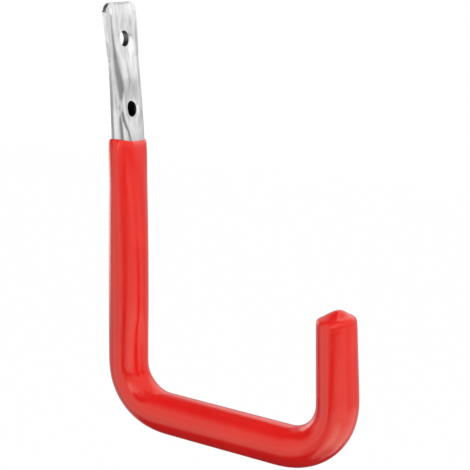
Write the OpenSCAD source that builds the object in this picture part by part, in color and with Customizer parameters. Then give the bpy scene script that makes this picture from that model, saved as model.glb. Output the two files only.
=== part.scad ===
// Wall hook: a bent steel tube, pressed flat and punched at its top for two screws,
// with a red PVC sleeve from below the punched end round to the closed tip.
// The origin is midway between the screw holes, in the middle of the wall at the upper one.
// X runs sideways along the wall, +Y into the wall, +Z up; the arm reaches out towards -Y.

/* [Tube] */
// Outer diameter of the steel tube
tube_d = 16; // [14:0.5:20]
// Wall thickness of the steel tube
tube_wall = 1.3; // [1:0.1:1.6]

/* [Hook] */
// Height from the arm's axis at the leg up to the top edge
leg_height = 184; // [165:1:240]
// Length of the arm's axis between the leg's axis and the tip's axis
arm_length = 107.7; // [80:0.1:160]
// Length of the steel tip above the arm's axis
tip_height = 61.2; // [50:0.1:100]
// Bend radius of the tube's axis at the foot of the leg
leg_bend_r = 21.4; // [18:0.1:30]
// Bend radius of the tube's axis at the foot of the tip
tip_bend_r = 22.7; // [18:0.1:30]
// Angle that the tube turns at the foot of the leg
leg_bend_angle = 86.8; // [80:0.1:95]
// Angle that the tube turns at the foot of the tip
tip_bend_angle = 95.9; // [85:0.1:100]

/* [Pressed end] */
// Thickness of the end where it is pressed flat
flat_t = 2.9; // [2.7:0.1:4]
// Length that is pressed quite flat
flat_length = 21; // [18:0.5:30]
// Length over which the round tube closes into the flat
squash_length = 108; // [90:1:115]
// How fast the squash grows towards the flat
squash_power = 2.1; // [1.6:0.1:2.6]
// Distance that the top edge is set back towards the wall from the tube's axis
set_back = 4.9; // [2:0.1:6]
// Length over which the end curves back towards the wall
curve_length = 84; // [60:1:100]
// Radius of the top corners
corner_r = 2.2; // [1:0.1:4]
// Depth of the dish that the press leaves in the faces of the taper
dish = 0.25; // [0:0.05:0.4]
// Radius of the small channel left open along each folded edge
fold_r = 0.5; // [0.2:0.05:0.6]
// Gap left between the two pressed walls
slit = 0.12; // [0.06:0.02:0.2]

/* [Screw holes] */
// Diameter of the two screw holes
hole_d = 7; // [4:0.5:8]
// Distance between the two screw holes
hole_spacing = 30.8; // [28:0.1:40]
// Distance from the top edge down to the upper hole
hole_margin = 15.6; // [10:0.1:20]

/* [Sleeve] */
// Distance from the top edge down to the rim of the sleeve
rim_drop = 60.5; // [55:0.5:75]
// Slant of the rim, higher on the -X side
rim_tilt = 3; // [0:0.5:5]
// Thickness of the sleeve at its rim
rim_t = 1.05; // [0.8:0.05:1.4]
// Thickness of the sleeve along the bends and the arm
sleeve_t = 1.35; // [1:0.05:2]
// Thickness of the sleeve's wall at the top of the tip
tip_t = 0.95; // [0.8:0.05:1.4]
// Radius of the rim's outer edge
rim_r = 0.35; // [0.1:0.05:0.5]
// Clearance between the tube and the sleeve
fit = 0.05; // [0.02:0.01:0.1]

/* [Closed tip] */
// Thickness of the sleeve over the open end of the tube
cap_t = 2.05; // [1.5:0.05:3]
// Radius of the shoulder round the closed tip
shoulder_r = 2.3; // [1.5:0.1:3]
// Slant of the closed tip, lower towards the leg
cap_tilt = 4.5; // [0:0.5:6]
// Rise of the closed tip's cone above its shoulder
cone_h = 3.1; // [1:0.1:3.5]
// Radius of the cone's rounded nose
nose_r = 3.5; // [1:0.1:4]
// Distance of the nose from the tip's axis, away from the leg
nose_offset = 1.1; // [0:0.1:2]

/* [Hidden] */
$fn = 96;

tube_r = tube_d / 2;
bore_r = tube_r - tube_wall;
sleeve_r = tube_r + sleeve_t;
seat_r = tube_r + fit;

// Places along the leg
top_z = hole_spacing / 2 + hole_margin;
corner_z = top_z - leg_height;
flat_z = top_z - flat_length;
round_z = flat_z - squash_length;
curve_z = top_z - curve_length;
rim_z = top_z - rim_drop;

// The upper hole's part of the pressed end lies in the plane y = 0
function curve_back(z) = set_back * pow(clamp01((z - curve_z) / curve_length), 2);
leg_y = -curve_back(hole_spacing / 2);

// Lengths that each bend takes from the straight runs that meet in it
leg_tangent = leg_bend_r * tan(leg_bend_angle / 2);
tip_tangent = tip_bend_r * tan(tip_bend_angle / 2);
leg_run = round_z - corner_z - leg_tangent;
arm_run = arm_length - leg_tangent - tip_tangent;
tip_run = tip_height - tip_tangent;

// Points round each cross-section of the pressed end: along one flat face, and round one edge
face_steps = 8;
edge_steps = 12;
// Height between cross-sections along the pressed end and along the leg below it
ring_step = 3.3;
leg_ring_step = 6;
// Depth by which a faceted run sinks into the wall of the round run that it joins
joint_inset = 0.06;
joint_lap = 1;
// Depth by which a bend's wall stays inside the walls of the straight runs that it sinks into
bend_inset = 0.08;
bend_lap = 0.3;
// Reach of a cutting cylinder past the face that it cuts
cut_over = 1;

// Share of the half width that each pressed face takes up along the taper and at the flat
taper_face = 0.45;
flat_face = 0.826;
// Squareness of the section along the taper and at the flat; 2 is an ellipse
taper_power = 2.2;
flat_power = 8;
// Stretch over which the section turns square, as shares of the flat's length
square_start = 0.125;
square_span = 0.75;
square_z = flat_z - square_start * flat_length;
square_length = square_span * flat_length;
// Share of the squash at which the pressed faces begin to show, and over which they turn flat
press_start = 0.2;
press_span = 0.25;

// Steps round the closed tip, across its shoulder and across its top
cap_turn_steps = 48;
shoulder_steps = 5;
top_steps = 7;

steel_colour = "#c8cacc";
sleeve_colour = "#d6231f";

function clamp01(v) = max(0, min(1, v));
function mix(a, b, share) = a + (b - a) * share;
function signed_power(v, power) = sign(v) * pow(abs(v), power);

// Share of the full squash at a height: 0 where the tube is round, 1 where it is flat
function squash(z) = pow(clamp01((z - round_z) / squash_length), squash_power);
function pressing(z) = clamp01((squash(z) - press_start) / press_span);
function squaring(z) = clamp01((z - square_z) / square_length);

// Half the thickness of the section, and half its width at the same length round it
function half_depth(z) = mix(tube_r, flat_t / 2, squash(z));
flat_half_width = (2 * PI * tube_r + (2 - PI) * flat_t) / 4;
width_gain = (flat_half_width / tube_r - 1) / (1 - pow(flat_t / tube_d, 2));
function half_width(z) = tube_r * (1 + width_gain * (1 - pow(half_depth(z) / tube_r, 2)));

function section_power(z) = mix(mix(2, taper_power, pressing(z)), flat_power, squaring(z));
function face_share(z) = mix(taper_face, flat_face, squaring(z));
function dish_at(z) = dish * pressing(z) * (1 - squaring(z));
function axis_y(z) = leg_y + curve_back(z);

// Depth of a rounded section at a share of its half width, as a share of its half depth
function curve_depth(share, power) = pow(1 - pow(abs(share), power), 1 / power);

// One cross-section: faces in front and behind that the press flattens, and rounded edges
function face_points(w, d, power, share, press, hollow, side) =
    [for (i = [0 : face_steps - 1])
        let (s = 2 * i / face_steps - 1)
        let (rounded = curve_depth(share * s, power))
        let (y = d * mix(rounded, curve_depth(share, power), press) - hollow * (1 - s * s))
        [side * w * share * s, -side * y]];
function edge_points(w, d, power, share, side) =
    let (a0 = acos(pow(share, power / 2)))
    [for (i = [0 : edge_steps - 1])
        let (a = mix(-a0, a0, i / edge_steps))
        [side * w * signed_power(cos(a), 2 / power), side * d * signed_power(sin(a), 2 / power)]];
function section(w, thickness, z, hollow) =
    let (power = section_power(z))
    let (share = face_share(z))
    let (d = thickness / mix(1, curve_depth(share, power), pressing(z)))
    concat(
        face_points(w, d, power, share, pressing(z), hollow, 1),
        edge_points(w, d, power, share, 1),
        face_points(w, d, power, share, pressing(z), hollow, -1),
        edge_points(w, d, power, share, -1));

// The tube's section at a height, grown by an offset or shrunk by a negative one
function ring(z, grow, tilt = 0) =
    [for (p = section(half_width(z) + grow, half_depth(z) + grow, z, dish_at(z)))
        [p[0], axis_y(z) + p[1], z - p[0] * tan(tilt)]];

// The bore's section: a round bore that closes to a slit with a channel along each fold
function fold_bulge(x, w) = fold_r * exp(-pow((w - abs(x) - fold_r) / fold_r, 2));
function bore_ring(z, grow) =
    let (w = half_width(z) - tube_wall + grow)
    let (d = max(half_depth(z) - tube_wall, slit / 2) + grow)
    let (closed = clamp01(1 - d / (2 * fold_r)))
    [for (p = section(w, d, z, min(dish_at(z), d - slit / 2)))
        [p[0], axis_y(z) + p[1] + closed * sign(p[1]) * fold_bulge(p[0], w), z]];

// Drop of the top edge at its rounded corners
function corner_drop(x, w) =
    let (over = min(corner_r, max(0, abs(x) - (w - corner_r))))
    corner_r - sqrt(corner_r * corner_r - over * over);
function top_edge(points, w) = [for (p = points) [p[0], p[1], p[2] - corner_drop(p[0], w)]];

function levels(from, to, step) =
    let (count = ceil((to - from) / step))
    [for (i = [1 : count]) mix(from, to, i / count)];

// A closed skin over rings of equally many points, where the last ring joins the first
module ring_skin(rings) {
    n = len(rings[0]);
    points = [for (r = rings) each r];
    faces = [
        for (j = [0 : len(rings) - 1])
            let (a = j * n)
            let (b = ((j + 1) % len(rings)) * n)
            for (i = [0 : n - 1])
                let (k = (i + 1) % n)
                each [[a + i, b + i, b + k], [a + i, b + k, a + k]]
    ];
    polyhedron(points, faces);
}

// Straight length of pipe that may taper on the outside
module pipe(outer_start, outer_end, inner, length) {
    difference() {
        cylinder(r1 = outer_start, r2 = outer_end, h = length);
        translate([0, 0, -cut_over])
            cylinder(r = inner, h = length + 2 * cut_over);
    }
}

// Bent length of pipe that starts along +Z and turns towards +Y
module pipe_bend(bend_r, angle, outer, inner) {
    lap = bend_lap / bend_r * 180 / PI;
    translate([0, bend_r, 0])
        rotate([90, 0, 90])
            rotate_extrude(angle = angle + 2 * lap, start = 180 - angle - lap)
                translate([bend_r, 0])
                    difference() {
                        circle(r = outer - bend_inset);
                        circle(r = inner + bend_inset);
                    }
}

module past_bend(bend_r, angle) {
    translate([0, bend_r, 0])
        rotate([-angle, 0, 0])
            translate([0, -bend_r, 0])
                children();
}

// Frames at the start of each run: +Z points along the tube, away from its pressed end
module at_leg() {
    translate([0, leg_y, round_z])
        rotate([180, 0, 0])
            children();
}

module at_leg_bend() {
    at_leg()
        translate([0, 0, leg_run])
            children();
}

module at_arm() {
    at_leg_bend()
        past_bend(leg_bend_r, leg_bend_angle)
            children();
}

module at_tip_bend() {
    at_arm()
        translate([0, 0, arm_run])
            children();
}

module at_tip() {
    at_tip_bend()
        past_bend(tip_bend_r, tip_bend_angle)
            children();
}

module pressed_end() {
    below_corners = top_z - corner_r - joint_lap / 2;
    heights = concat(levels(round_z, rim_z, leg_ring_step), levels(rim_z, below_corners, ring_step));
    top_w = half_width(top_z);
    outer = concat(
        [ring(round_z - joint_lap, -joint_inset), ring(round_z, -joint_inset)],
        [for (z = heights) ring(z, 0)],
        [top_edge(ring(top_z, 0), top_w)]);
    inner = concat(
        [bore_ring(round_z - joint_lap, joint_inset), bore_ring(round_z, joint_inset)],
        [for (z = heights) bore_ring(z, 0)],
        [top_edge(bore_ring(top_z, 0), top_w)]);
    ring_skin(concat(outer, [for (i = [len(inner) - 1 : -1 : 0]) inner[i]]));
}

module screw_holes() {
    for (side = [-1, 1])
        translate([0, 0, side * hole_spacing / 2])
            rotate([90, 0, 0])
                cylinder(d = hole_d, h = 4 * sleeve_r, center = true);
}

module steel_tube() {
    color(steel_colour)
        difference() {
            union() {
                pressed_end();
                at_leg()
                    pipe(tube_r, tube_r, bore_r, leg_run);
                at_leg_bend()
                    pipe_bend(leg_bend_r, leg_bend_angle, tube_r, bore_r);
                at_arm()
                    pipe(tube_r, tube_r, bore_r, arm_run);
                at_tip_bend()
                    pipe_bend(tip_bend_r, tip_bend_angle, tube_r, bore_r);
                at_tip()
                    pipe(tube_r, tube_r, bore_r, tip_run);
            }
            screw_holes();
        }
}

// Thickness of the sleeve down the leg, from its rim to the first bend
function leg_sleeve_t(z) = mix(rim_t, sleeve_t, (rim_z - z) / (rim_z - corner_z - leg_tangent));

// The sleeve where it follows the squashed part of the tube, with its rounded rim
module sleeve_rim() {
    heights = levels(round_z, rim_z - rim_r, leg_ring_step);
    last = len(heights) - 1;
    outer = concat(
        [for (z = [round_z - joint_lap, round_z]) ring(z, leg_sleeve_t(z) - joint_inset)],
        [for (i = [0 : last]) ring(heights[i], leg_sleeve_t(heights[i]), i == last ? rim_tilt : 0)],
        [ring(rim_z, rim_t - rim_r, rim_tilt)]);
    inner = concat(
        [for (z = [round_z - joint_lap, round_z]) ring(z, fit + joint_inset)],
        [for (i = [0 : last]) ring(heights[i], fit, i == last ? rim_tilt : 0)],
        [ring(rim_z, fit, rim_tilt)]);
    ring_skin(concat(outer, [for (i = [len(inner) - 1 : -1 : 0]) inner[i]]));
}

// The closed tip: a shoulder and a shallow cone with a rounded nose
tip_r = tube_r + tip_t;
crest_r = tip_r - shoulder_r;
cone_slope = cone_h / sqrt(crest_r * crest_r - 2 * cone_h * nose_r);
nose_h = cone_slope * cone_slope * nose_r;
function cap_height(r) = cone_h + nose_h - norm([nose_h, cone_slope * r]);
function cap_shift(r) = -nose_offset * (1 - clamp01(r / crest_r));
function cap_profile() = concat(
    [[tip_r - joint_inset, -shoulder_r - joint_lap]],
    [for (i = [0 : shoulder_steps])
        let (a = 90 * i / shoulder_steps)
        [crest_r + (shoulder_r - joint_inset) * cos(a), shoulder_r * (sin(a) - 1)]],
    [for (i = [1 : top_steps - 1])
        let (r = crest_r * (1 - i / top_steps))
        [r, cap_height(r)]]);
function cap_slant(y, z) = z + y * tan(cap_tilt) * clamp01(1 + z / shoulder_r);

module cap() {
    profile = cap_profile();
    rows = len(profile);
    n = cap_turn_steps;
    points = concat(
        [for (p = profile) for (i = [0 : n - 1])
            let (x = p[0] * cos(360 * i / n))
            let (y = p[0] * sin(360 * i / n) + cap_shift(p[0]))
            [x, y, cap_slant(-y, p[1])]],
        [[0, cap_shift(0), cap_slant(-cap_shift(0), cap_height(0))]]);
    apex = rows * n;
    faces = concat(
        [[for (i = [0 : n - 1]) i]],
        [for (j = [0 : rows - 2]) for (i = [0 : n - 1])
            let (k = (i + 1) % n)
            each [[j * n + i, (j + 1) * n + i, (j + 1) * n + k], [j * n + i, (j + 1) * n + k, j * n + k]]],
        [for (i = [0 : n - 1]) [(rows - 1) * n + i, apex, (rows - 1) * n + (i + 1) % n]]);
    polyhedron(points, faces);
}

module sleeve_tip() {
    shoulder_z = tip_run + cap_t;
    wall_end = shoulder_z - shoulder_r - joint_lap / 2;
    difference() {
        union() {
            cylinder(r1 = sleeve_r, r2 = tip_r, h = wall_end);
            translate([0, 0, shoulder_z])
                cap();
        }
        translate([0, 0, -cut_over])
            cylinder(r = seat_r, h = tip_run + fit + cut_over);
    }
}

module pvc_sleeve() {
    color(sleeve_colour) {
        sleeve_rim();
        at_leg()
            pipe(tube_r + leg_sleeve_t(round_z), sleeve_r, seat_r, leg_run);
        at_leg_bend()
            pipe_bend(leg_bend_r, leg_bend_angle, sleeve_r, seat_r);
        at_arm()
            pipe(sleeve_r, sleeve_r, seat_r, arm_run);
        at_tip_bend()
            pipe_bend(tip_bend_r, tip_bend_angle, sleeve_r, seat_r);
        at_tip()
            sleeve_tip();
    }
}

steel_tube();
pvc_sleeve();
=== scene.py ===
"""Wall hook: a bent steel tube, pressed flat and punched at the top, with a red dipped PVC sleeve."""

import math

import bmesh
import bpy
import numpy as np
from mathutils import Matrix, Vector
from mathutils.kdtree import KDTree

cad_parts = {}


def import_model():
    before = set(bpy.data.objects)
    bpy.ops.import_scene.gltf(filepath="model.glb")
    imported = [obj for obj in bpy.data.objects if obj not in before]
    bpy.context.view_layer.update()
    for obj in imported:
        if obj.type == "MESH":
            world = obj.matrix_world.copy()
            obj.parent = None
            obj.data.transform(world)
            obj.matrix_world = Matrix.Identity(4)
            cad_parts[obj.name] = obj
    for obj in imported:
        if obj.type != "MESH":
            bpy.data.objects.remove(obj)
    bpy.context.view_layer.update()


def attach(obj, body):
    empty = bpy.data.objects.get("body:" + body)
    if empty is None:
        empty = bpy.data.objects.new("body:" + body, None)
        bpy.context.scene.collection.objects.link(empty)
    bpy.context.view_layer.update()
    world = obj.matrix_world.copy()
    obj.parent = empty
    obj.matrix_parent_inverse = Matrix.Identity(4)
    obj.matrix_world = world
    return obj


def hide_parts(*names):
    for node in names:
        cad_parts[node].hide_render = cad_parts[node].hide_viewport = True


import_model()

MM = 0.001

# Sizes in millimetres, with the names that the CAD model gives them
TUBE_R = 8.0
TUBE_WALL = 1.3
LEG_HEIGHT = 184.0
ARM_LENGTH = 107.7
TIP_HEIGHT = 61.2
LEG_BEND_R = 21.4
TIP_BEND_R = 22.7
LEG_BEND_ANGLE = math.radians(86.8)
TIP_BEND_ANGLE = math.radians(95.9)
FLAT_T = 2.9
FLAT_LENGTH = 21.0
SQUASH_LENGTH = 108.0
SQUASH_POWER = 2.1
SET_BACK = 4.9
CURVE_LENGTH = 84.0
CORNER_R_LEFT = 3.6
CORNER_R_RIGHT = 2.4
DISH = 0.25
FOLD_R = 0.5
SLIT = 0.12
HOLE_R = 3.5
HOLE_SPACING = 30.8
HOLE_MARGIN = 15.6
RIM_DROP = 60.5
RIM_TILT = math.radians(3.0)
RIM_T = 1.05
SLEEVE_T = 1.35
TIP_T = 0.95
RIM_R = 0.35
FIT = 0.05
CAP_T = 2.05
SHOULDER_R = 2.3
CAP_TILT = math.radians(4.5)
CONE_H = 3.1
NOSE_R = 3.5
NOSE_OFFSET = 1.1
CAP_SOFT = 2.2
IRON = 16

TOP_Z = HOLE_SPACING / 2 + HOLE_MARGIN
CORNER_Z = TOP_Z - LEG_HEIGHT
FLAT_Z = TOP_Z - FLAT_LENGTH
ROUND_Z = FLAT_Z - SQUASH_LENGTH
CURVE_Z = TOP_Z - CURVE_LENGTH
LEG_Y = -SET_BACK * ((HOLE_SPACING / 2 - CURVE_Z) / CURVE_LENGTH) ** 2
RIM_Z = TOP_Z - RIM_DROP
LEG_TANGENT = LEG_BEND_R * math.tan(LEG_BEND_ANGLE / 2)
TIP_TANGENT = TIP_BEND_R * math.tan(TIP_BEND_ANGLE / 2)
LEG_RUN = TOP_Z - CORNER_Z - LEG_TANGENT
ARM_RUN = ARM_LENGTH - LEG_TANGENT - TIP_TANGENT
TIP_RUN = TIP_HEIGHT - TIP_TANGENT
BEND1 = LEG_RUN, LEG_RUN + LEG_BEND_R * LEG_BEND_ANGLE
BEND2 = BEND1[1] + ARM_RUN, BEND1[1] + ARM_RUN + TIP_BEND_R * TIP_BEND_ANGLE
PATH_END = BEND2[1] + TIP_RUN

# Half the length over which the taper's slope eases into the flat
SQUASH_EASE = 6.0

FACE_STEPS = 40
EDGE_STEPS = 36


def clamp01(v):
    return np.clip(v, 0.0, 1.0)


def mix(a, b, share):
    return a + (b - a) * share


def ease(v):
    v = clamp01(v)
    return v * v * (3 - 2 * v)


def bump(v, start, end, soft):
    """1 between start and end, falling to 0 over soft beyond each."""
    return ease((v - start + soft) / soft) * ease((end + soft - v) / soft)


def distance_to(points, u, v):
    """Distance from (u, v) to the edge of a brush line through points, each (u, v, half width)."""
    away = np.full(np.shape(u), np.inf)
    for (u0, v0, half0), (u1, v1, half1) in zip(points, points[1:]):
        along = clamp01(((u - u0) * (u1 - u0) + (v - v0) * (v1 - v0)) / ((u1 - u0) ** 2 + (v1 - v0) ** 2))
        reach = np.hypot(u - mix(u0, u1, along), v - mix(v0, v1, along))
        away = np.minimum(away, reach - mix(half0, half1, along))
    return away


def signed_power(v, power):
    return np.sign(v) * np.abs(v) ** power


def squash(z):
    """Share of the full squash at a height, eased over where the taper meets the flat."""
    spread = np.linspace(-SQUASH_EASE, SQUASH_EASE, 9)
    return float(np.mean(clamp01((z + spread - ROUND_Z) / SQUASH_LENGTH) ** SQUASH_POWER))


def pressing(z):
    return clamp01((squash(z) - 0.2) / 0.25)


def squaring(z):
    return clamp01((z - FLAT_Z + FLAT_LENGTH / 8) / (0.75 * FLAT_LENGTH))


FLAT_HALF_WIDTH = (2 * math.pi * TUBE_R + (2 - math.pi) * FLAT_T) / 4
WIDTH_GAIN = (FLAT_HALF_WIDTH / TUBE_R - 1) / (1 - (FLAT_T / 2 / TUBE_R) ** 2)


def half_depth(z):
    return mix(TUBE_R, FLAT_T / 2, squash(z))


def half_width(z):
    return TUBE_R * (1 + WIDTH_GAIN * (1 - (half_depth(z) / TUBE_R) ** 2))


def curve_depth(share, power):
    return (1 - np.abs(share) ** power) ** (1 / power)


def section(w, thickness, z, hollow):
    """Points round one cross-section, as (X, outward) pairs: faces that the press flattens, and rounded edges."""
    press = pressing(z)
    power = mix(mix(2.0, 2.2, press), 8.0, squaring(z))
    share = mix(0.45, 0.826, squaring(z))
    d = thickness / mix(1.0, curve_depth(share, power), press)
    s = 2 * np.arange(FACE_STEPS) / FACE_STEPS - 1
    y = d * mix(curve_depth(share * s, power), curve_depth(share, power), press) - hollow * (1 - s * s)
    a0 = math.acos(share ** (power / 2))
    a = mix(-a0, a0, np.arange(EDGE_STEPS) / EDGE_STEPS)
    ex = w * signed_power(np.cos(a), 2 / power)
    ey = d * signed_power(np.sin(a), 2 / power)
    x = np.concatenate([w * share * s, ex, -w * share * s, -ex])
    return x, np.concatenate([-y, ey, y, -ey])


# Press marks on the unrolled wall, drawn in painted light: negative tones are painted shade and dark reflections along
# the press creases, which they also dent; positive tones are painted highlights and glints. Each mark has a tone
# (negative is dark), softness, and a line of points, each (length round the wall from the middle of the front, height,
# half width)
PRESS_MARKS_AND_PAINTED_LIGHT = (
    (-0.68, 1.5, ((-9.0, 26.0, -0.4), (-9.1, 20.0, -0.2), (-8.8, 13.0, 0.1), (-8.2, 7.0, 0.6), (-7.9, 1.0, 1.0),
                  (-7.3, -3.5, 1.3), (-7.3, -6.5, 1.2), (-7.8, -9.5, 0.5), (-8.2, -12.5, -0.9))),
    (-0.30, 0.8, ((-9.2, -12.0, -0.6), (-9.4, -14.0, 0.3), (-9.4, -17.0, -0.8))),
    (-0.70, 0.6, ((-9.4, -15.5, -0.6), (-9.4, -18.5, 0.1), (-9.3, -22.0, 0.4), (-9.2, -29.5, 0.5))),
    (-0.75, 0.6, ((-8.3, -14.5, -0.5), (-8.0, -17.0, 0.3), (-7.6, -19.5, 0.4), (-6.7, -22.2, 0.4),
                  (-5.7, -24.5, 0.3), (-5.0, -29.5, 0.1))),
    (-0.40, 0.6, ((-12.6, 17.0, -0.6), (-12.3, 14.0, 0.1), (-12.0, 11.0, 0.2), (-11.8, 6.0, 0.1))),
    (-0.65, 0.6, ((-11.8, 8.0, -0.5), (-11.9, 3.0, 0.0), (-12.1, -4.0, 0.3), (-12.5, -10.6, 0.35),
                  (-13.1, -18.0, 0.4), (-13.5, -29.5, 0.4))),
    (-0.22, 0.9, ((-11.6, 27.0, -0.4), (-12.2, 22.0, 0.3), (-12.2, 18.0, -0.4))),
    (-0.35, 0.8, ((0.7, 7.5, -0.7), (-0.1, 1.5, 0.2), (0.2, -4.0, 0.3), (-1.0, -8.6, -0.7))),
    # A painted shadow beside the upper hole
    (-0.40, 0.8, ((3.6, 16.6, 0.2), (6.2, 16.0, 0.2))),
    (-0.30, 0.9, ((10.2, 25.5, -0.7), (9.8, 20.0, 0.2), (9.4, 14.1, 0.4), (9.6, 7.5, 0.4), (8.4, 1.0, 0.3),
                  (7.6, -5.0, 0.2), (7.2, -8.5, -0.7))),
    (-0.35, 0.6, ((7.2, -13.0, -0.5), (6.4, -17.5, 0.2), (5.2, -22.0, 0.2), (4.6, -26.0, -0.5))),
    (-0.22, 1.4, ((0.3, 28.0, -1.0), (-0.4, 24.0, 0.2), (-1.8, 20.5, 0.2), (-2.2, 18.6, -0.8))),
    (-0.25, 1.2, ((2.2, 27.0, -0.9), (1.9, 23.0, -0.2), (1.8, 21.0, -1.0))),
    (-0.28, 1.3, ((5.2, 25.5, -1.0), (5.4, 22.0, 0.2), (6.0, 18.5, -0.9))),
    (-0.25, 1.2, ((9.4, 28.6, -0.9), (9.3, 26.0, 0.0), (9.4, 23.5, -0.9))),
    (-0.18, 1.0, ((-5.4, 28.0, -0.6), (-5.6, 24.0, 0.0), (-5.2, 20.0, -0.6))),
    (-0.35, 0.6, ((-4.2, 19.0, -0.4), (-4.4, 17.0, 0.2), (-4.4, 14.0, -0.3))),
    (-0.45, 0.4, ((-6.0, 30.6, 0.1), (6.6, 30.6, 0.1))),
    (-0.60, 0.4, ((3.3, -13.9, 0.1), (4.6, -13.5, 0.0))),
    (-0.25, 0.9, ((-10.9, 2.0, -0.8), (-11.2, -12.0, 0.3), (-11.4, -29.5, 0.5))),
    # The rest are painted highlights: glints along the edges, at the corner and beside the lower hole
    (0.60, 1.0, ((-8.6, 28.2, 0.3), (-8.6, 26.4, 0.1))),
    (0.80, 2.2, ((5.4, 15.2, -0.4), (5.0, 13.0, 0.8), (4.2, 10.5, 0.9), (3.6, 7.5, -0.4), (3.4, 3.0, -1.8))),
    (0.25, 1.6, ((3.6, 6.0, 0.2), (3.2, -1.0, 0.2), (2.9, -6.0, -1.5))),
    (0.80, 0.8, ((-13.6, 28.0, -0.7), (-13.8, 24.0, 0.4), (-14.1, 19.0, 0.6), (-14.3, 9.0, 0.3), (-14.6, 2.0, -0.7))),
    (1.00, 0.6, ((4.1, -14.8, 0.1), (4.2, -16.6, 0.3), (4.0, -17.8, -0.3))),
    (0.45, 0.9, ((2.6, -11.2, 0.0), (4.3, -14.0, 0.3), (4.2, -17.5, 0.5), (3.0, -20.0, 0.1), (1.5, -21.6, -0.6))),
    (0.45, 0.6, ((-5.8, -7.0, -0.3), (-6.6, -11.2, 0.4), (-6.6, -15.6, 0.4), (-5.6, -19.2, 0.4), (-3.6, -22.5, 0.0))),
    (0.35, 0.5, ((-8.2, -21.2, 0.3), (-7.7, -26.5, 0.3))),
    (0.45, 1.0, ((6.4, 30.0, 0.3), (6.3, 26.0, 0.1))),
    (0.30, 1.0, ((-3.7, 30.1, 0.3), (-3.9, 27.1, 0.1))),
)
MARK_DEPTH = 0.2

# Depth to which the punch pushes the front in round the lower hole
PUNCH_DISH = 1.15


def marks_and_painted_light_tone(x, out, z):
    """Tone of the press marks' painted shade and painted highlights round one cross-section at a height."""
    step = np.hypot(np.diff(x, append=x[0]), np.diff(out, append=out[0]))
    length = np.concatenate([[0.0], np.cumsum(step)])
    girth = length[-1]
    round_wall = length[:-1] - length[FACE_STEPS // 2]
    round_wall = (round_wall + girth / 2) % girth - girth / 2
    tone = np.zeros(x.shape)
    for value, soft, points in PRESS_MARKS_AND_PAINTED_LIGHT:
        tone += value * ease(1 - distance_to(points, round_wall, z) / soft)
    return np.clip(tone, -1.0, 1.0)


def path_table():
    """The tube's axis in the plane x = 0, from the top edge: length, y, z and the angle turned so far."""
    s = np.linspace(0.0, PATH_END + 10, 3200)
    step = s[1] - s[0]
    turn = np.where((s >= BEND1[0]) & (s <= BEND1[1]), 1 / LEG_BEND_R, 0.0)
    turn += np.where((s >= BEND2[0]) & (s <= BEND2[1]), 1 / TIP_BEND_R, 0.0)
    half = int(2.5 / step)
    kernel = np.hanning(2 * half + 3)[1:-1]
    turn = np.convolve(turn, kernel / kernel.sum(), mode="same")
    scale = (LEG_BEND_ANGLE + TIP_BEND_ANGLE) / (turn.sum() * step)
    angle = np.concatenate([[0.0], np.cumsum((turn[1:] + turn[:-1]) / 2 * step * scale)])
    mid = (angle[1:] + angle[:-1]) / 2
    y = LEG_Y + np.concatenate([[0.0], np.cumsum(-np.sin(mid) * step)])
    z = TOP_Z + np.concatenate([[0.0], np.cumsum(-np.cos(mid) * step)])
    return s, y, z, angle


PATH = path_table()


def axis_at(s):
    """Centre (y, z) and angle at a length along the axis. The pressed end leans back towards the wall."""
    y = np.interp(s, PATH[0], PATH[1])
    z = np.interp(s, PATH[0], PATH[2])
    if s < BEND1[0]:
        y += SET_BACK * float(clamp01((z - CURVE_Z) / CURVE_LENGTH)) ** 2
    return y, z, np.interp(s, PATH[0], PATH[3])


def place(x, out, s, tilt=0.0):
    """Section points (X, outward) at a length along the axis, as an n by 3 array in millimetres."""
    cy, cz, a = axis_at(s)
    return np.stack([x, cy + out * math.cos(a), cz - out * math.sin(a) - x * math.tan(tilt)], axis=1)


def skin(name, rings, material, start_cap=False, end_cap=False, closed=False):
    """A smooth mesh over rings of equally many points."""
    n = len(rings[0])
    verts = np.concatenate(rings) * MM
    count = len(rings)
    faces = []
    for j in range(count if closed else count - 1):
        a, b = j * n, ((j + 1) % count) * n
        for i in range(n):
            k = (i + 1) % n
            faces.append((a + i, b + i, b + k, a + k))
    if start_cap:
        faces.append(tuple(range(n)))
    if end_cap:
        faces.append(tuple(reversed(range((count - 1) * n, count * n))))
    mesh = bpy.data.meshes.new(name)
    mesh.from_pydata(verts.tolist(), [], faces)
    bm = bmesh.new()
    bm.from_mesh(mesh)
    bmesh.ops.remove_doubles(bm, verts=bm.verts, dist=1e-6)
    bmesh.ops.recalc_face_normals(bm, faces=bm.faces)
    bm.to_mesh(mesh)
    bm.free()
    mesh.shade_smooth()
    mesh.materials.append(material)
    obj = bpy.data.objects.new(name, mesh)
    bpy.context.scene.collection.objects.link(obj)
    return obj


def sleeve_thickness(s):
    z = TOP_Z - s
    leg = mix(RIM_T, 1.15, clamp01((RIM_Z - z) / (RIM_Z - CORNER_Z - LEG_TANGENT)))
    arm = mix(1.32, 1.35, clamp01((s - BEND1[1]) / ARM_RUN))
    tip = mix(1.35, 0.78, clamp01((s - BEND2[1]) / TIP_RUN))
    leg -= 0.6 * math.exp(-(s - RIM_DROP) / 1.3)
    t = mix(leg, arm, ease((s - BEND1[0] + 4) / (BEND1[1] - BEND1[0] + 4)))
    return mix(t, tip, ease((s - BEND2[0]) / (BEND2[1] - BEND2[0] + 4)))


def bend_share(s):
    return max(bump(s, BEND1[0] + 5, BEND1[1] - 5, 9.0), bump(s, BEND2[0] + 5, BEND2[1] - 5, 9.0))


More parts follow.
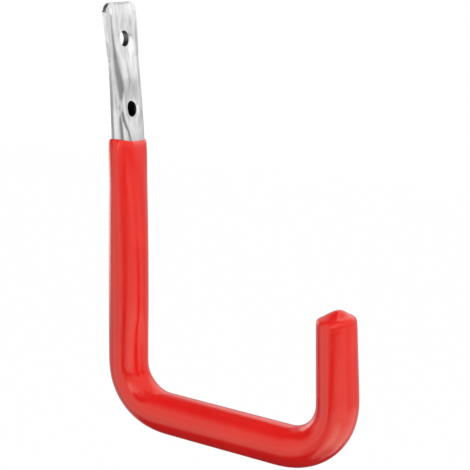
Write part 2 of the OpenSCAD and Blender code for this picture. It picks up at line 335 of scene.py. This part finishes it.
def tube_section(s, grow):
    """The tube's own section, which the bends flatten a little on their outer side."""
    z = TOP_Z - s
    if s > LEG_RUN:
        z = ROUND_Z - 1
    x, out = section(half_width(z) + grow, half_depth(z) + grow, z, DISH * pressing(z) * (1 - squaring(z)))
    b = bend_share(s)
    out = np.where(out > 0, out * (1 - 0.03 * b), out)
    hollow = PUNCH_DISH * bump(z, -HOLE_SPACING / 2 - 3, -HOLE_SPACING / 2 + 3, 12.0) * ease(1.3 - np.abs(x) / 7)
    return x, np.where(out < 0, out + hollow, out)


def sleeve_ring(s, grow, tilt=0.0):
    x, out = tube_section(s, grow)
    sag = 0.25 * bump(s, BEND1[1] + 4, BEND2[0] - 2, 14.0)
    out = np.where(out > 0, out + sag * clamp01(out / TUBE_R) ** 2, out)
    ring = place(*ironed(x, out, s), s, tilt)
    ring[:, 2] += np.where(x < 0, 0.8, 0.45) * (x / 9) ** 2 * clamp01(tilt / RIM_TILT)
    return ring


def ironed(x, out, s):
    """The bending die's print on the inner side of the first bend: a flat strip on each side of the middle."""
    down = s - BEND1[0]
    share = 0.7 * ease((down + 28) / 12) * ease((16 - down) / 9) * mix(0.2, 1.0, ease((2 - x) / 5))
    outer = math.radians(mix(34.0, 51.0, ease((down + 30) / 22)))
    inner = math.radians(mix(12.0, -8.0, ease((down + 30) / 22)))
    middle, half = (outer + inner) / 2, (outer - inner) / 2
    away = np.arctan2(np.abs(x), -out) - middle
    depth = clamp01(np.cos(away) / math.cos(half) * (np.abs(away) < 1.5) / 1.3) * 1.3
    scale = mix(1.0, (1 + depth**IRON) ** (-1 / IRON), share)
    return x * scale, out * scale


def cap_height(r, crest):
    slope = CONE_H / math.sqrt(crest * crest - 2 * CONE_H * NOSE_R)
    nose = slope * slope * NOSE_R
    return CONE_H + nose - math.hypot(nose, slope * r)


def cap_profile(tip_t):
    """Radius and height along the closed tip's outline, softened along its length."""
    tip_r = TUBE_R + tip_t
    crest = tip_r - SHOULDER_R
    line = [(tip_r, h) for h in np.linspace(-SHOULDER_R - 4, -SHOULDER_R - 0.2, 12)]
    line += [(crest + SHOULDER_R * math.cos(a), SHOULDER_R * (math.sin(a) - 1))
             for a in np.linspace(0.0, math.pi / 2, 24)]
    line += [(r, cap_height(abs(r), crest)) for r in np.linspace(crest - 0.1, -crest + 0.1, 120)]
    line = np.array(line)
    length = np.concatenate([[0.0], np.cumsum(np.hypot(*np.diff(line, axis=0).T))])
    step = 0.1
    even = np.arange(0.0, length[-1], step)
    line = np.stack([np.interp(even, length, line[:, 0]), np.interp(even, length, line[:, 1])], axis=1)
    kernel = np.hanning(2 * int(CAP_SOFT / step) + 3)[1:-1]
    kernel /= kernel.sum()
    soft = np.stack([np.convolve(line[:, 0], kernel, "same"), np.convolve(line[:, 1], kernel, "same")], axis=1)
    keep = (soft[:, 0] > 0) & (even > 2) & (even < length[-1] - 4)
    return soft[keep][::3]


def cap_rings(tip_t):
    """Rings over the closed tip, from the start of its shoulder to the middle of its cone."""
    crest = TUBE_R + tip_t - SHOULDER_R
    cy, cz, a = axis_at(PATH_END)
    x, out = section(1.0, 1.0, ROUND_Z - 1, 0.0)
    rings = []
    for r, h in cap_profile(tip_t):
        shift = NOSE_OFFSET * ease(1 - r / crest)
        o = out * r + shift
        up = h + CAP_T + o * math.tan(CAP_TILT) * clamp01(1 + h / SHOULDER_R)
        rings.append(np.stack([x * r, cy + o * math.cos(a) - up * math.sin(a),
                               cz - o * math.sin(a) - up * math.cos(a)], axis=1))
    top = rings[-1].mean(axis=0)
    return rings + [top + (rings[-1] - top) * 0.01]


def sleeve_rings():
    rings = []
    inside = [sleeve_ring(s, FIT) for s in np.arange(PATH_END, RIM_DROP + 6, -4.0)]
    rings += inside
    near = np.linspace(6.0, 0.0, 6)
    rings += [sleeve_ring(RIM_DROP + d, FIT, RIM_TILT * (1 - d / 6)) for d in near]
    rim_t = sleeve_thickness(RIM_DROP)
    for a in np.linspace(math.pi / 2, 0.0, 7):
        r = RIM_R
        rings.append(sleeve_ring(RIM_DROP + r * (1 - math.sin(a)), rim_t - r * (1 - math.cos(a)), RIM_TILT))
    stations = np.concatenate([
        np.linspace(RIM_DROP + 0.7, RIM_DROP + 5, 12),
        np.linspace(RIM_DROP + 6, RIM_DROP + 20, 12),
        np.linspace(RIM_DROP + 21, BEND1[0] - 5, 60),
        np.linspace(BEND1[0] - 4, BEND1[1] + 4, 56),
        np.linspace(BEND1[1] + 5, BEND2[0] - 5, 40),
        np.linspace(BEND2[0] - 4, BEND2[1] + 4, 60),
        np.linspace(BEND2[1] + 5, PATH_END - 2.6, 26)])
    for s in stations:
        rings.append(sleeve_ring(s, sleeve_thickness(s), RIM_TILT * clamp01(1 - (s - RIM_DROP) / 20)))
    rings += cap_rings(sleeve_thickness(PATH_END))
    return rings


def node_input(node, name, value):
    node.inputs[name].default_value = value


def new_material(name):
    material = bpy.data.materials.new(name)
    material.use_nodes = True
    nodes = material.node_tree.nodes
    nodes.clear()
    out = nodes.new("ShaderNodeOutputMaterial")
    shader = nodes.new("ShaderNodeBsdfPrincipled")
    material.node_tree.links.new(shader.outputs["BSDF"], out.inputs["Surface"])
    return material, nodes, material.node_tree.links, shader


def noise(nodes, links, vector, scale, detail=3.0, rough=0.5):
    n = nodes.new("ShaderNodeTexNoise")
    node_input(n, "Scale", scale)
    node_input(n, "Detail", detail)
    node_input(n, "Roughness", rough)
    links.new(vector, n.inputs["Vector"])
    return n.outputs["Fac"]


def stretched(nodes, links, vector, scale):
    m = nodes.new("ShaderNodeMapping")
    node_input(m, "Scale", scale)
    links.new(vector, m.inputs["Vector"])
    return m.outputs["Vector"]


def ramp(nodes, links, value, low, high, out_low, out_high):
    m = nodes.new("ShaderNodeMapRange")
    m.interpolation_type = "SMOOTHSTEP"
    for name, v in (("From Min", low), ("From Max", high), ("To Min", out_low), ("To Max", out_high)):
        node_input(m, name, v)
    links.new(value, m.inputs["Value"])
    return m.outputs["Result"]


def math_node(nodes, links, operation, a, b):
    m = nodes.new("ShaderNodeMath")
    m.operation = operation
    for i, v in enumerate((a, b)):
        if isinstance(v, (int, float)):
            m.inputs[i].default_value = v
        else:
            links.new(v, m.inputs[i])
    return m.outputs["Value"]


def mixed(nodes, links, factor, a, b):
    m = nodes.new("ShaderNodeMix")
    m.data_type = "RGBA"
    links.new(factor, m.inputs["Factor"])
    for socket, v in ((m.inputs["A"], a), (m.inputs["B"], b)):
        if isinstance(v, tuple):
            socket.default_value = v
        else:
            links.new(v, socket)
    return m.outputs["Result"]


# Middle of the closed tip, in metres, where the dipped skin is duller
TIP_CENTRE = (0.0, -0.1105, -0.098)


def pvc_material():
    material, nodes, links, shader = new_material("red dipped PVC")
    where = nodes.new("ShaderNodeTexCoord").outputs["Object"]
    cloud = noise(nodes, links, where, 60.0)
    colour = mixed(nodes, links, ramp(nodes, links, cloud, 0.3, 0.7, 0.0, 1.0),
                   (0.84, 0.009, 0.009, 1.0), (0.90, 0.012, 0.011, 1.0))
    links.new(colour, shader.inputs["Base Color"])
    gloss = ramp(nodes, links, noise(nodes, links, where, 90.0, 2.0), 0.3, 0.7, 0.12, 0.2)
    from_tip = nodes.new("ShaderNodeVectorMath")
    from_tip.operation = "DISTANCE"
    links.new(where, from_tip.inputs[0])
    from_tip.inputs[1].default_value = TIP_CENTRE
    matt = ramp(nodes, links, from_tip.outputs["Value"], 0.008, 0.015, 0.06, 0.0)
    links.new(math_node(nodes, links, "ADD", gloss, matt), shader.inputs["Roughness"])
    node_input(shader, "IOR", 1.5)
    node_input(shader, "Specular Tint", (1.0, 0.98, 0.74, 1.0))
    wave = noise(nodes, links, where, 70.0, 1.0)
    skin_bump = nodes.new("ShaderNodeBump")
    node_input(skin_bump, "Strength", 0.25)
    node_input(skin_bump, "Distance", 0.0002)
    links.new(wave, skin_bump.inputs["Height"])
    links.new(skin_bump.outputs["Normal"], shader.inputs["Normal"])
    return material


def steel_material():
    material, nodes, links, shader = new_material("zinc-plated steel")
    where = nodes.new("ShaderNodeTexCoord").outputs["Object"]
    streak = noise(nodes, links, stretched(nodes, links, where, (900.0, 900.0, 60.0)), 1.0, 3.0)
    cloud = noise(nodes, links, stretched(nodes, links, where, (260.0, 260.0, 90.0)), 1.0, 3.0)
    tone = math_node(nodes, links, "ADD", streak, cloud)
    colour = mixed(nodes, links, ramp(nodes, links, tone, 0.7, 1.3, 0.0, 1.0),
                   (0.58, 0.58, 0.585, 1.0), (0.76, 0.76, 0.765, 1.0))
    marks_and_painted_light = nodes.new("ShaderNodeAttribute")
    marks_and_painted_light.attribute_name = "marks_and_painted_light"
    kinds = nodes.new("ShaderNodeSeparateColor")
    links.new(marks_and_painted_light.outputs["Color"], kinds.inputs["Color"])
    # Red darkens with painted shade and dark reflections, Green lightens with painted highlights, Blue is sheared metal
    # with painted shade
    for kind, shade in (("Red", 0.1), ("Green", 0.97), ("Blue", 0.12)):
        colour = mixed(nodes, links, kinds.outputs[kind], colour, (shade, shade, shade, 1.0))
    links.new(colour, shader.inputs["Base Color"])
    node_input(shader, "Metallic", 1.0)
    links.new(ramp(nodes, links, streak, 0.3, 0.7, 0.30, 0.42), shader.inputs["Roughness"])
    grain = nodes.new("ShaderNodeBump")
    node_input(grain, "Strength", 0.35)
    node_input(grain, "Distance", 0.0002)
    links.new(tone, grain.inputs["Height"])
    links.new(grain.outputs["Normal"], shader.inputs["Normal"])
    return material


def sleeve():
    obj = skin("pvc_sleeve_skin", sleeve_rings(), pvc_material())
    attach(obj, "root")
    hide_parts("pvc_sleeve")


def corner_drop(x, out, w):
    """How far the rounded corners of the top edge lie below its middle. The left one is cut back further behind."""
    radius = np.where(x < 0, CORNER_R_LEFT, CORNER_R_RIGHT)
    behind = np.where(x < 0, 1.4, 0.0) * clamp01(0.5 + out / FLAT_T)
    over = np.clip(np.abs(x) - (w - behind - radius), 0.0, radius)
    return radius - np.sqrt(radius**2 - over**2)


def bore_section(s, grow):
    z = TOP_Z - s
    if s > LEG_RUN:
        z = ROUND_Z - 1
    w = half_width(z) - TUBE_WALL + grow
    d = max(half_depth(z) - TUBE_WALL, SLIT / 2) + grow
    closed = clamp01(1 - d / (2 * FOLD_R))
    x, out = section(w, d, z, min(DISH * pressing(z) * (1 - squaring(z)), d - SLIT / 2))
    bulge = FOLD_R * np.exp(-(((w - np.abs(x) - FOLD_R) / FOLD_R) ** 2))
    return x, out + closed * np.sign(out) * bulge


def tube_rings():
    """Outer wall from the tip's open end to the top edge, then the bore back down, and the tone of each point."""
    stations = np.concatenate([
        np.arange(PATH_END, RIM_DROP + 10, -3.0),
        np.linspace(RIM_DROP + 8, CORNER_R_LEFT + 0.3, 190)])
    bore_stations = np.concatenate([np.linspace(CORNER_R_LEFT + 0.3, RIM_DROP + 8, 60), stations[:-190][::-1]])
    edge = 0.22
    rings, tones = [], []
    for s in stations:
        x, out = ironed(*tube_section(s, 0.0), s)
        tone = marks_and_painted_light_tone(x, out, TOP_Z - s)
        dent = MARK_DEPTH * clamp01(-tone) * ease((FLAT_HALF_WIDTH - 1 - np.abs(x)) / 1.5)
        out = out - np.sign(out) * np.minimum(dent, np.abs(out) / 2)
        rings.append(place(x, out, s))
        tones.append(tone)
    w = half_width(TOP_Z)
    below = rings[-1]
    x, out = tube_section(0.0, 0.0)
    above = place(x, out, 0.0)
    above[:, 2] -= corner_drop(x, out, w) + edge
    for share in np.linspace(0.1, 0.95, 10):
        ring = mix(below, above, share)
        rings.append(ring)
        tones.append(marks_and_painted_light_tone(x, out, ring[:, 2]))
    drop = corner_drop(x, out, w)
    cut = ease((drop - 0.25) / 0.4) * ease((3.3 - drop) / 1.2) * (x < 0)
    # The cut face of the left corner is darkened on its front side and given a painted highlight on its back side
    corner_dark_and_highlight = np.where(out < 0, -0.95, 0.9)
    for a in np.linspace(0.0, math.pi / 2, 6):
        x, out = tube_section(0.0, -edge * (1 - math.cos(a)))
        ring = place(x, out, 0.0)
        ring[:, 2] -= corner_drop(x, out, w) + edge * (1 - math.sin(a))
        rings.append(ring)
        tones.append(mix(marks_and_painted_light_tone(x, out, ring[:, 2]), corner_dark_and_highlight, cut * math.sin(a)))
    x, out = bore_section(0.0, 0.0)
    ring = place(x, out, 0.0)
    ring[:, 2] -= corner_drop(x, out, w)
    rings += [ring] + [place(*bore_section(s, 0.0), s) for s in bore_stations]
    tones += [np.where(cut > 0, corner_dark_and_highlight, SHEARED_AND_SHADE_TONE)] + [np.full(len(x), SHEARED_AND_SHADE_TONE)] * len(bore_stations)
    return rings, tones


# Tone that stands for sheared or unplated metal darkened with painted shade, inside the bore and the screw holes
SHEARED_AND_SHADE_TONE = -2.0


def punch():
    """A mesh of the two cylinders that the screw holes take away."""
    cutter = bmesh.new()
    for side in (-1, 1):
        matrix = Matrix.Translation((0, LEG_Y * MM, side * HOLE_SPACING / 2 * MM)) @ Matrix.Rotation(math.pi / 2, 4, "X")
        bmesh.ops.create_cone(cutter, cap_ends=True, segments=96, radius1=HOLE_R * MM, radius2=HOLE_R * MM,
                              depth=0.06, matrix=matrix)
    mesh = bpy.data.meshes.new("punch")
    cutter.to_mesh(mesh)
    cutter.free()
    obj = bpy.data.objects.new("punch", mesh)
    bpy.context.scene.collection.objects.link(obj)
    return obj


def paint_marks_and_light(mesh, rings, tones):
    """Colour attribute of the steel: painted shade and dark reflections along the press marks, painted highlights, and
    sheared metal with painted shade in the bore and the screw holes.
    """
    points, tones = np.concatenate(rings) * MM, np.concatenate(tones)
    tree = KDTree(len(points))
    for i, point in enumerate(points.tolist()):
        tree.insert(point, i)
    tree.balance()
    tone = np.array([tones[tree.find(v.co)[1]] for v in mesh.vertices])
    corner = np.zeros(len(mesh.loops), dtype=np.int32)
    mesh.loops.foreach_get("vertex_index", corner)
    tone = tone[corner]
    for face in mesh.polygons:
        centre = face.center / MM
        if min(math.hypot(centre.x, centre.z - side * HOLE_SPACING / 2) for side in (-1, 1)) < HOLE_R + 0.001:
            tone[list(face.loop_indices)] = SHEARED_AND_SHADE_TONE
    sheared_and_shaded = (tone <= SHEARED_AND_SHADE_TONE).astype(float)
    colours = np.stack([clamp01(-tone) * (1 - sheared_and_shaded), clamp01(tone), sheared_and_shaded, np.ones(len(tone))], axis=1)
    mesh.color_attributes.new("marks_and_painted_light", "FLOAT_COLOR", "CORNER").data.foreach_set("color", colours.ravel())


def tube():
    rings, tones = tube_rings()
    obj = skin("steel_tube_skin", rings, steel_material(), closed=True)
    cutter = punch()
    cut = obj.modifiers.new("holes", "BOOLEAN")
    cut.operation = "DIFFERENCE"
    cut.object = cutter
    cut.solver = "EXACT"
    bpy.context.view_layer.update()
    evaluated = obj.evaluated_get(bpy.context.evaluated_depsgraph_get())
    done = bpy.data.meshes.new_from_object(evaluated)
    obj.modifiers.clear()
    obj.data = done
    done.set_sharp_from_angle(angle=math.radians(40))
    paint_marks_and_light(done, rings, tones)
    bpy.data.objects.remove(cutter)
    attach(obj, "root")
    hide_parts("steel_tube")


def camera():
    data = bpy.data.cameras.new("photo camera")
    data.sensor_width = 36.0
    data.lens = 107.234
    data.clip_start = 0.01
    data.clip_end = 50.0
    cam = bpy.data.objects.new("photo camera", data)
    bpy.context.scene.collection.objects.link(cam)
    right = Vector((0.48715415, -0.87321918, 0.01300354))
    up = Vector((0.18291187, 0.1165804, 0.97619274))
    back = Vector((-0.85394618, -0.47317784, 0.21651478))
    turn = Matrix((right, up, back)).transposed().to_4x4()
    cam.matrix_world = Matrix.Translation((-0.51859, -0.345789, 0.06503)) @ turn
    bpy.context.scene.camera = cam


def white_to_camera(tree, strength):
    """A factor that is 1 for the camera, for reflections and for looks through glass, and 0 for the rest; strength is
    not used.
    """
    nodes, links = tree.nodes, tree.links
    path = nodes.new("ShaderNodeLightPath")
    seen = math_node(nodes, links, "MAXIMUM", path.outputs["Is Camera Ray"], path.outputs["Is Glossy Ray"])
    seen = math_node(nodes, links, "MAXIMUM", seen, path.outputs["Is Transmission Ray"])
    return seen


def world():
    w = bpy.data.worlds.new("studio")
    bpy.context.scene.world = w
    w.use_nodes = True
    nodes, links = w.node_tree.nodes, w.node_tree.links
    nodes.clear()
    out = nodes.new("ShaderNodeOutputWorld")
    shown = nodes.new("ShaderNodeBackground")
    node_input(shown, "Color", (1, 1, 1, 1))
    node_input(shown, "Strength", 1.0)
    light = nodes.new("ShaderNodeBackground")
    node_input(light, "Color", (1, 1, 1, 1))
    node_input(light, "Strength", 0.52)
    choose = nodes.new("ShaderNodeMixShader")
    links.new(white_to_camera(w.node_tree, 1.0), choose.inputs[0])
    links.new(light.outputs[0], choose.inputs[1])
    links.new(shown.outputs[0], choose.inputs[2])
    links.new(choose.outputs[0], out.inputs["Surface"])


def floor():
    mesh = bpy.data.meshes.new("floor")
    size, z = 6.0, -1.2
    mesh.from_pydata([(-size, -size, z), (size, -size, z), (size, size, z), (-size, size, z)], [], [(0, 1, 2, 3)])
    material = bpy.data.materials.new("pale floor")
    material.use_nodes = True
    nodes, links = material.node_tree.nodes, material.node_tree.links
    nodes.clear()
    out = nodes.new("ShaderNodeOutputMaterial")
    shown = nodes.new("ShaderNodeEmission")
    node_input(shown, "Strength", 1.07)
    pale = nodes.new("ShaderNodeBsdfDiffuse")
    node_input(pale, "Color", (0.85, 0.85, 0.85, 1))
    choose = nodes.new("ShaderNodeMixShader")
    # The floor's own shade stays in the mix, so it comes out white and still keeps the hook's shadow
    glow_share = math_node(nodes, links, "MULTIPLY", white_to_camera(material.node_tree, 1.0), 0.88)
    links.new(glow_share, choose.inputs[0])
    links.new(pale.outputs[0], choose.inputs[1])
    links.new(shown.outputs[0], choose.inputs[2])
    links.new(choose.outputs[0], out.inputs["Surface"])
    mesh.materials.append(material)
    obj = bpy.data.objects.new("floor", mesh)
    bpy.context.scene.collection.objects.link(obj)


# Soft panels round the studio that only reflections see: azimuths, elevations, softness of both, level
PANELS = (
    ((205, 335), (10, 60), (24, 12), 1.0),
    ((335, 388), (15, 85), (10, 10), 1.7),
    ((35, 225), (50, 90), (10, 10), 0.12),
    ((58, 87), (-12, 14), (8, 8), 2.2),
    ((97, 118), (2, 60), (10, 8), 0.08),
    ((112, 166), (-38, -12), (10, 8), 1.45),
    ((142, 166), (-16, 22), (18, 14), 1.35),
    ((150, 160), (-22, -9), (6, 8), 1.65),
    ((169, 181), (2, 60), (3, 5), 0.08),
    ((181, 196), (28, 60), (6, 6), 0.3),
    ((166, 190), (-46, -24), (6, 8), 0.9),
    ((200, 262), (-26, -9), (10, 5), 1.35),
    ((215, 264), (-32, -24), (10, 6), 2.1),
    ((262, 300), (-24, -8), (10, 5), 0.95),
    ((-30, 185), (-90, -52), (10, 8), 0.06),
    ((192, 314), (-66, -27), (10, 4), 1.75),
    ((205, 300), (-58, -46), (14, 12), 2.3),
    ((212, 234), (-52, -42), (12, 10), 3.4),
    ((210, 305), (-90, -68), (14, 8), 1.0),
    ((0, 360), (-90, -82), (10, 8), 0.1),
)

# Slanted bands in the same studio: softness, level, and a line of (azimuth, elevation, half width)
BANDS = (
    (3.2, 0.0, ((163, -25.5, 1.0), (174, -22, 1.2), (183, -19, 1.2), (192, -16, 1.2), (203, -13.5, 1.2),
                (215, -10.5, 1.2), (230, -7.5, 1.2), (238, -5.3, 0.8))),
    (2.5, 0.1, ((238, -5.3, 0.8), (254, -3, 0.6), (292, -1.5, 0.6))),
    (6.0, 1.9, ((192, 10, 5.0), (204, 20, 5.0))),
    (5.0, 3.8, ((180, -4, 2.4), (193, 6, 3.2))),
    (5.0, 2.6, ((193, 4, 2.0), (206, 3, 2.0))),
)


def glow(azimuth, elevation):
    level = np.full(azimuth.shape, 0.6)
    for (a0, a1), (e0, e1), (soft_a, soft_e), value in PANELS:
        inside = np.zeros(azimuth.shape)
        for turn in (-360, 0, 360):
            inside = np.maximum(inside, bump(azimuth + turn, a0, a1, soft_a))
        level = mix(level, value, inside * bump(elevation, e0, e1, soft_e))
    for soft, value, points in BANDS:
        level = mix(level, value, ease(1 - distance_to(points, azimuth, elevation) / soft))
    return level


def studio():
    """A sphere that only reflections see, with soft light and dark panels."""
    centre, radius, step = np.array((0.0, -0.05, -0.07)), 0.6, 1.5
    turns, rises = np.arange(0, 360, step), np.arange(step / 2 - 90, 90, step)
    azimuth, elevation = (grid.ravel() for grid in np.meshgrid(turns, rises))
    a, e = np.radians(azimuth), np.radians(elevation)
    verts = centre + radius * np.stack([np.cos(a) * np.cos(e), np.sin(a) * np.cos(e), np.sin(e)], axis=1)
    n, rows = len(turns), len(rises)
    faces = [(j * n + i, j * n + (i + 1) % n, (j + 1) * n + (i + 1) % n, (j + 1) * n + i)
             for j in range(rows - 1) for i in range(n)]
    faces += [tuple(reversed(range(n))), tuple(range((rows - 1) * n, rows * n))]
    mesh = bpy.data.meshes.new("studio panels")
    mesh.from_pydata(verts.tolist(), [], faces)
    levels = mesh.attributes.new("level", "FLOAT", "POINT")
    levels.data.foreach_set("value", glow(azimuth, elevation).astype(np.float32))
    material = bpy.data.materials.new("studio panels")
    material.use_nodes = True
    nodes, links = material.node_tree.nodes, material.node_tree.links
    nodes.clear()
    out = nodes.new("ShaderNodeOutputMaterial")
    shown = nodes.new("ShaderNodeEmission")
    level = nodes.new("ShaderNodeAttribute")
    level.attribute_name = "level"
    links.new(level.outputs["Fac"], shown.inputs["Strength"])
    links.new(shown.outputs[0], out.inputs["Surface"])
    mesh.materials.append(material)
    obj = bpy.data.objects.new("studio panels", mesh)
    bpy.context.scene.collection.objects.link(obj)
    obj.visible_camera = False
    obj.visible_diffuse = False
    obj.visible_transmission = False
    obj.visible_shadow = False


def softbox(name, azimuth, elevation, distance, width, height, watts):
    data = bpy.data.lights.new(name, "AREA")
    data.shape = "RECTANGLE"
    data.size = width
    data.size_y = height
    data.energy = watts
    obj = bpy.data.objects.new(name, data)
    bpy.context.scene.collection.objects.link(obj)
    a, e = math.radians(azimuth), math.radians(elevation)
    away = Vector((math.cos(a) * math.cos(e), math.sin(a) * math.cos(e), math.sin(e)))
    obj.location = Vector((0, -0.05, -0.07)) + away * distance
    obj.rotation_mode = "QUATERNION"
    obj.rotation_quaternion = away.to_track_quat("Z", "Y")
    obj.visible_glossy = False
    return obj


def lights():
    softbox("key", 215, 35, 0.4, 0.29, 0.23, 0.8)
    softbox("fill", 300, -12, 1.4, 0.8, 0.8, 4.8)


tube()
sleeve()
camera()
world()
floor()
studio()
lights()
bpy.context.scene.view_settings.view_transform = "Standard"
